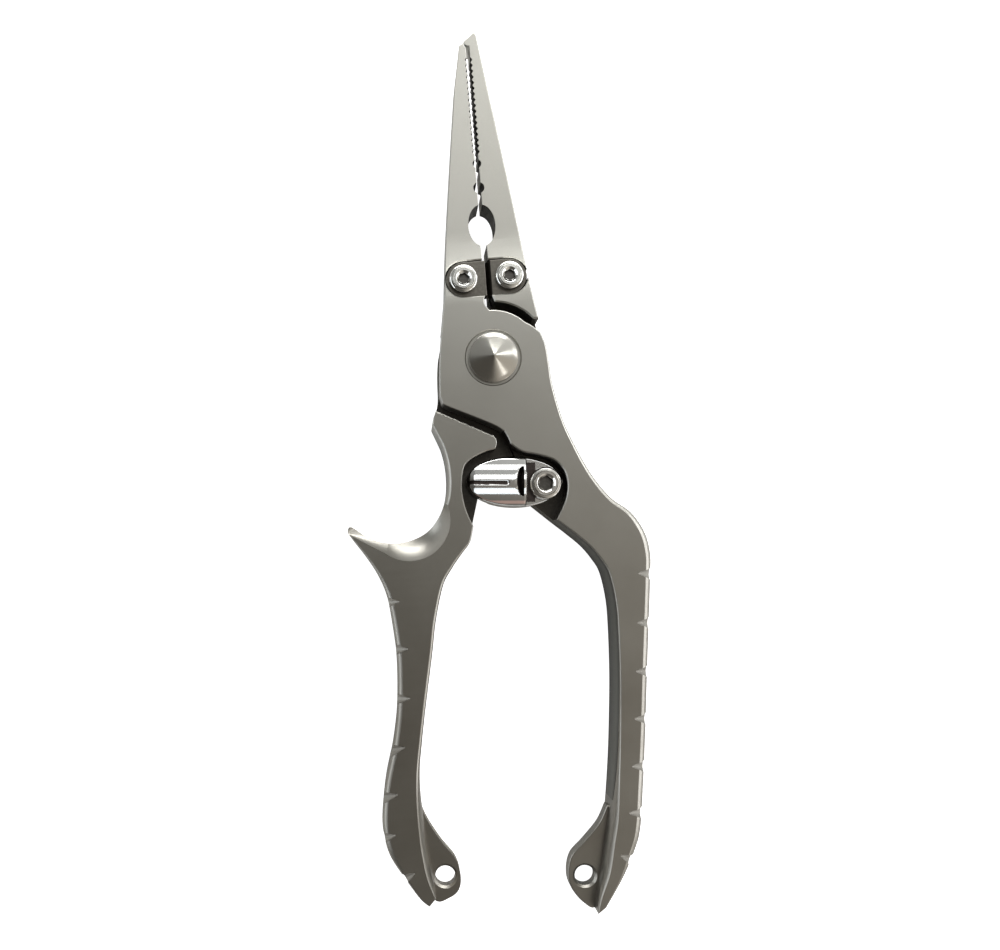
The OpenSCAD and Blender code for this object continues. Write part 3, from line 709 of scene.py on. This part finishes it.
def alloy(name, tone, dark):
    """Fine-blasted aluminium, brushed along the jaws, with painted light and shade: its colour is lighter
    towards the jaws' tips, darker and warmer towards the handles.
    """
    m, nt, p = mat(name)
    o = coords(nt)
    sep = node(nt, "ShaderNodeSeparateXYZ")
    nt.links.new(o, sep.inputs[0])
    # painted light and shade: the base colour runs from dark on the handles to light at the jaws' tips
    along = mapr(nt, sep.outputs["Y"], 0, 1, -0.075, 0.06)
    body = ramp(nt, along, [(0.0, dark), (0.3, tuple(.6 * d + .4 * t for d, t in zip(dark, tone))),
                            (0.62, tone), (1.0, tuple(min(1, t * 1.22) for t in tone))])
    grain = noise_tex(nt, coords(nt), 9000, 2)
    cloud = noise_tex(nt, coords(nt), 60, 4)
    c = mixc(nt, mapr(nt, grain, 0, .35), body, tuple(t * .82 for t in dark))
    c = mixc(nt, mapr(nt, cloud, 0, .22, .35, .75), c, tuple(t * 1.12 for t in tone))
    nt.links.new(c, p.inputs["Base Color"])
    p.inputs["Metallic"].default_value = 1.0
    streak = noise_tex(nt, coords(nt, (60, 6500, 400), (0, 0, math.radians(2))), 1.0, 2)
    ro = node(nt, "ShaderNodeMath", operation="ADD")
    nt.links.new(mapr(nt, grain, .30, .40), ro.inputs[0])
    nt.links.new(mapr(nt, streak, -.04, .05), ro.inputs[1])
    nt.links.new(ro.outputs[0], p.inputs["Roughness"])
    n1 = bump(nt, grain, .10, .00003)
    jaw = mapr(nt, sep.outputs["Y"], 0, 1, 0.0, 0.03)
    hs = node(nt, "ShaderNodeMath", operation="MULTIPLY")
    nt.links.new(streak, hs.inputs[0])
    nt.links.new(jaw, hs.inputs[1])
    n2 = bump(nt, hs.outputs[0], .22, .00003, n1)
    nt.links.new(n2, p.inputs["Normal"])
    return m


def side_wall(name):
    """Cut side of the plate in painted shade, darkest at its top and bottom edges, with a lighter painted
    strip along its middle.
    """
    m, nt, p = mat(name)
    sep = node(nt, "ShaderNodeSeparateXYZ")
    nt.links.new(coords(nt), sep.inputs[0])
    across = mapr(nt, sep.outputs["Z"], 0, 1, 0, T * MM)
    # painted shade across the height, with a painted highlight in the middle
    strip = ramp(nt, across, [(0, (.05, .048, .042)), (.3, (.2, .2, .18)), (.72, (.24, .24, .21)),
                              (.9, (.06, .056, .048))])
    grain = noise_tex(nt, coords(nt, (1, 1, 6)), 3000, 3)
    nt.links.new(mixc(nt, mapr(nt, grain, 0, .4), strip, (.12, .115, .1)), p.inputs["Base Color"])
    p.inputs["Metallic"].default_value = 1.0
    nt.links.new(mapr(nt, grain, .3, .45), p.inputs["Roughness"])
    nt.links.new(bump(nt, grain, .1, .00003), p.inputs["Normal"])
    return m


def turned_metal(name, tone, rough=.24, centre=(0, 0), rings=5200, spokes=0.0):
    """Metal turned on a lathe: fine rings about its axis."""
    m, nt, p = mat(name)
    mp = node(nt, "ShaderNodeMapping")
    mp.inputs["Location"].default_value = (-centre[0] * MM, -centre[1] * MM, 0)
    tc = node(nt, "ShaderNodeTexCoord")
    nt.links.new(tc.outputs["Object"], mp.inputs["Vector"])
    sep = node(nt, "ShaderNodeSeparateXYZ")
    nt.links.new(mp.outputs["Vector"], sep.inputs[0])
    flat = node(nt, "ShaderNodeCombineXYZ")
    nt.links.new(sep.outputs["X"], flat.inputs["X"])
    nt.links.new(sep.outputs["Y"], flat.inputs["Y"])
    ln = node(nt, "ShaderNodeVectorMath", operation="LENGTH")
    nt.links.new(flat.outputs[0], ln.inputs[0])
    cm = node(nt, "ShaderNodeCombineXYZ")
    nt.links.new(ln.outputs["Value"], cm.inputs["X"])
    nt.links.new(sep.outputs["Z"], cm.inputs["Z"])
    ring = noise_tex(nt, cm.outputs[0], rings, 3, .7)
    fine = noise_tex(nt, mp.outputs["Vector"], 2500, 3)
    c = mixc(nt, mapr(nt, ring, 0, .5), tone, tuple(t * .7 for t in tone))
    c = mixc(nt, mapr(nt, fine, 0, .25), c, tuple(min(1, t * 1.2) for t in tone))
    nt.links.new(c, p.inputs["Base Color"])
    p.inputs["Metallic"].default_value = 1.0
    nt.links.new(mapr(nt, ring, rough * .75, rough * 1.3), p.inputs["Roughness"])
    nt.links.new(bump(nt, ring, .2, .00003), p.inputs["Normal"])
    if spokes:
        tan = node(nt, "ShaderNodeTangent", direction_type="RADIAL", axis="Z")
        nt.links.new(tan.outputs[0], p.inputs["Tangent"])
        p.inputs["Anisotropic"].default_value = spokes
    return m


def polished(name, tone, rough=.07, smear=900):
    """Plated and polished metal with faint wear."""
    m, nt, p = mat(name)
    wear = noise_tex(nt, coords(nt), smear, 4)
    fine = noise_tex(nt, coords(nt, (1, 1, 1)), 6000, 2)
    c = mixc(nt, mapr(nt, wear, 0, .35, .4, .8), tone, tuple(t * .86 for t in tone))
    nt.links.new(c, p.inputs["Base Color"])
    p.inputs["Metallic"].default_value = 1.0
    nt.links.new(mapr(nt, wear, rough * .7, rough * 1.9), p.inputs["Roughness"])
    nt.links.new(bump(nt, fine, .03, .00002), p.inputs["Normal"])
    return m


def carbide(name, tone):
    m, nt, p = mat(name)
    lines = noise_tex(nt, coords(nt, (300, 5000, 900), (0, 0, .2)), 1.0, 2)
    spots = noise_tex(nt, coords(nt), 1800, 3)
    c = mixc(nt, mapr(nt, lines, 0, .6), tone, tuple(t * .55 for t in tone))
    c = mixc(nt, mapr(nt, spots, 0, .4, .4, .8), c, tuple(t * 1.5 for t in tone))
    nt.links.new(c, p.inputs["Base Color"])
    p.inputs["Metallic"].default_value = 1.0
    nt.links.new(mapr(nt, lines, .32, .5), p.inputs["Roughness"])
    nt.links.new(bump(nt, lines, .15, .00003), p.inputs["Normal"])
    return m


painted_wall_shade = side_wall("side_wall_painted_shade")
front_metal = alloy("front_metal", (.52, .515, .48), (.30, .285, .255))
rear_metal = alloy("rear_metal", (.50, .495, .46), (.28, .265, .235))
cap_metal = turned_metal("cap_metal", (.60, .585, .54), .17, (0, 0), 5200, .6)
nut_metal = turned_metal("nut_metal", (.55, .54, .52), .3)
bronze = turned_metal("bronze", (.60, .42, .20), .3)
screw_l = turned_metal("screw_left_metal", (.80, .80, .77), .12, (-CUTTER_X, CUTTER_Y), 3800)
screw_r = turned_metal("screw_right_metal", (.80, .80, .77), .12, (CUTTER_X, CUTTER_Y), 3800)
screw_b = turned_metal("latch_screw_metal", (.82, .81, .78), .11, LATCH, 3400)
chrome = polished("latch_chrome", (.70, .70, .69), .06)
wire = polished("spring_wire", (.45, .45, .44), .25)
hard = carbide("carbide", (.19, .18, .16))


def finish_piece(ob, m, body, slot, *nodes):
    """Scales a piece to metres, gives it its body, hides its CAD nodes and, unless None, gives it its
    material; slot is not used.
    """
    if m:
        ob.data.materials.clear()
        ob.data.materials.append(m)
    ob.data.transform(Matrix.Scale(MM, 4))
    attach(ob, body)
    if nodes:
        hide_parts(*nodes)
    return ob


# painted shade: a dark material for the faces inside the halves' recesses, grooves, holes, teeth and cutter
# seats
recess = carbide("recess_painted_shade", (.085, .08, .072))
# painted shade and painted dark reflection on the latch
latch_shade_paint = carbide("latch_painted_shade", (.05, .042, .038))
# painted shade for the screws' hexagon sockets
socket_shade = carbide("socket_painted_shade", (.16, .155, .145))
finish_piece(build_front(front_metal, recess, painted_wall_shade), None, "front", "handle_metal", "front_half")
finish_piece(build_rear(rear_metal, recess), None, "rear", "handle_metal_rear", "rear_half")
cap_piece = finish_piece(pivot_cap(), cap_metal, "front", "turned_steel", "pivot_bolt")
finish_piece(cutter(-1), hard, "front", "carbide", "cutter_left")
finish_piece(cutter(1), hard, "rear", "carbide", "cutter_right")
left_screw = screw("cutter_screw_l", (-CUTTER_X, CUTTER_Y), 10.6, 3.1, 1.7, 2.2, 7.6, 12, screw_l,
                   socket_shade)
right_screw = screw("cutter_screw_r", (CUTTER_X, CUTTER_Y), 10.6, 3.1, 1.7, 2.2, 7.6, 27, screw_r,
                    socket_shade)
pivot_screw = screw("latch_pivot_screw", LATCH, 9.35, 3.6, 2.1, 2.9, 7.05, 20, screw_b, socket_shade)
finish_piece(left_screw, None, "front", "screw_steel", "cutter_screw_left")
finish_piece(right_screw, None, "rear", "screw_steel", "cutter_screw_right")
finish_piece(pivot_screw, None, "front", "screw_steel", "latch_screw")
latch_piece = finish_piece(latch_body(chrome, latch_shade_paint), None, "latch", "latch_chrome", "latch")

# CAD nodes that stay, with better materials
for names, m in ((("pivot_nut", "front_washer", "rear_washer", "latch_wave_washer", "catch_pin"), nut_metal),
                 (("pivot_bush", "middle_washer", "latch_bush"), bronze),
                 (("opening_spring",), wire)):
    for nm in names:
        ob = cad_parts[nm]
        for s in ob.material_slots:
            s.material = m

# ---------------------------------------------------------------- stage, light and camera
bm = bmesh.new()
bmesh.ops.create_grid(bm, x_segments=1, y_segments=1, size=3)
floor = make("floor", bm, 0)
floor.location = (0, 0, -0.0001)
fm, nt, p = mat("floor_paint")
speck = noise_tex(nt, coords(nt), 40, 3)
nt.links.new(mixc(nt, mapr(nt, speck, 0, .3), (.93, .93, .93), (.9, .9, .9)), p.inputs["Base Color"])
p.inputs["Roughness"].default_value = .9
p.inputs["Emission Color"].default_value = (1, 1, 1, 1)
eye = node(nt, "ShaderNodeLightPath")
glow = node(nt, "ShaderNodeMath", operation="MULTIPLY")
glow.inputs[1].default_value = .95
nt.links.new(eye.outputs["Is Camera Ray"], glow.inputs[0])
nt.links.new(glow.outputs[0], p.inputs["Emission Strength"])
floor.data.materials.append(fm)


def area(name, where, aim, size, power, colour=(1, 1, 1)):
    li = bpy.data.lights.new(name, "AREA")
    li.shape = "RECTANGLE"
    li.size, li.size_y = size
    li.energy = power
    li.color = colour
    ob = bpy.data.objects.new(name, li)
    ob.location = where
    d = Vector(aim) - Vector(where)
    ob.rotation_euler = d.to_track_quat("-Z", "Y").to_euler()
    bpy.context.scene.collection.objects.link(ob)
    return ob


def softbox(name, azimuth, elevation, distance, size, radiance, colour=(1, 1, 1)):
    """A lit panel facing the pliers; radiance is what a mirror would show."""
    az, el = math.radians(azimuth), math.radians(elevation)
    where = (distance * math.cos(el) * math.cos(az), distance * math.cos(el) * math.sin(az) - .02,
             distance * math.sin(el))
    return area(name, where, (0, -.02, 0), size, radiance * math.pi * size[0] * size[1], colour)


def only(lamp, pieces, keep=True):
    """Lights only these pieces, or all but these."""
    group = bpy.data.collections.new(lamp.name + "_lights")
    for ob in pieces:
        group.objects.link(ob)
    lamp.light_linking.receiver_collection = group
    if not keep:
        for c in group.collection_objects:
            c.light_linking.link_state = "EXCLUDE"


only(softbox("over_north", 80, 63, .75, (.34, .2), .85, (1, 1, .98)), [latch_piece], False)
only(softbox("north", 76, 36, .75, (.42, .24), 3.0, (1, 1, .98)), [latch_piece], False)
softbox("north_low", 84, 10, .8, (.9, .2), 8.0, (1, 1, .99))
only(softbox("north_east", 48, 18, .8, (.4, .2), 3.0), [cap_piece], False)
softbox("east_north", 22, 36, .75, (.13, .26), 2.4)
softbox("east_south", -46, 36, .75, (.14, .3), 1.6, (1, .98, .95))
only(softbox("west", 180, 25, .75, (.8, .34), 2.1, (.9, .95, 1)), [latch_piece, cap_piece], False)
only(softbox("east", -2, 24, .75, (.8, .36), 2.8, (.94, .96, 1)), [latch_piece, cap_piece], False)
for lamp in (softbox("strip_upper", 88, 55.5, .6, (.5, .15), 1.9),
             softbox("strip_crown", 88, 79, .6, (.5, .09), 2.4),
             softbox("strip_lower", -92, 73, .6, (.5, .14), 1.5, (.86, .94, 1)),
             softbox("strip_floor", -92, 34, .6, (.5, .2), .32, (.9, .5, .42))):
    only(lamp, [latch_piece])

world = bpy.data.worlds.new("studio")
bpy.context.scene.world = world
world.use_nodes = True
nt = world.node_tree
bg = nt.nodes["Background"]
way = node(nt, "ShaderNodeTexCoord")
parts = node(nt, "ShaderNodeSeparateXYZ")
nt.links.new(way.outputs["Generated"], parts.inputs[0])


def lit(axis, a, b, amount):
    r = node(nt, "ShaderNodeMapRange", interpolation_type="SMOOTHSTEP")
    nt.links.new(parts.outputs[axis], r.inputs["Value"])
    for k, v in (("From Min", a), ("From Max", b), ("To Min", 0), ("To Max", amount)):
        r.inputs[k].default_value = v
    return r.outputs["Result"]


def add(a, b):
    m = node(nt, "ShaderNodeMath", operation="ADD")
    nt.links.new(a, m.inputs[0])
    if hasattr(b, "links"):
        nt.links.new(b, m.inputs[1])
    else:
        m.inputs[1].default_value = b
    return m.outputs[0]


total = add(add(lit("Y", .1, .36, .2), lit("X", -.1, .4, .5)), .1)
seen = node(nt, "ShaderNodeLightPath")
back = node(nt, "ShaderNodeMix", data_type="FLOAT")
nt.links.new(seen.outputs["Is Camera Ray"], back.inputs[0])
nt.links.new(total, back.inputs[2])
back.inputs[3].default_value = .93
nt.links.new(back.outputs[0], bg.inputs["Strength"])
warm = lit("Y", -.1, .35, 1)
nt.links.new(mixc(nt, warm, (1, .93, .83), (1, 1, .97)), bg.inputs["Color"])

cam = bpy.data.cameras.new("camera")
# straight above the pliers: a view 215.66 mm wide at a distance of 220 mm, turned by a few degrees
VIEW_WIDTH, VIEW_DISTANCE, CAMERA_Z, CAMERA_TURN = 215.66, 220, 232, -4.5
cam.sensor_width = 36
cam.lens = cam.sensor_width * VIEW_DISTANCE / VIEW_WIDTH
cam.shift_x, cam.shift_y = 0.095, 0.085
cam.clip_start, cam.clip_end = 0.01, 10
camera = bpy.data.objects.new("camera", cam)
camera.location = (-22.41 * MM, -42.04 * MM, CAMERA_Z * MM)
camera.rotation_euler = (0, 0, math.radians(CAMERA_TURN))
bpy.context.scene.collection.objects.link(camera)
bpy.context.scene.camera = camera
bpy.context.scene.view_settings.view_transform = "Standard"
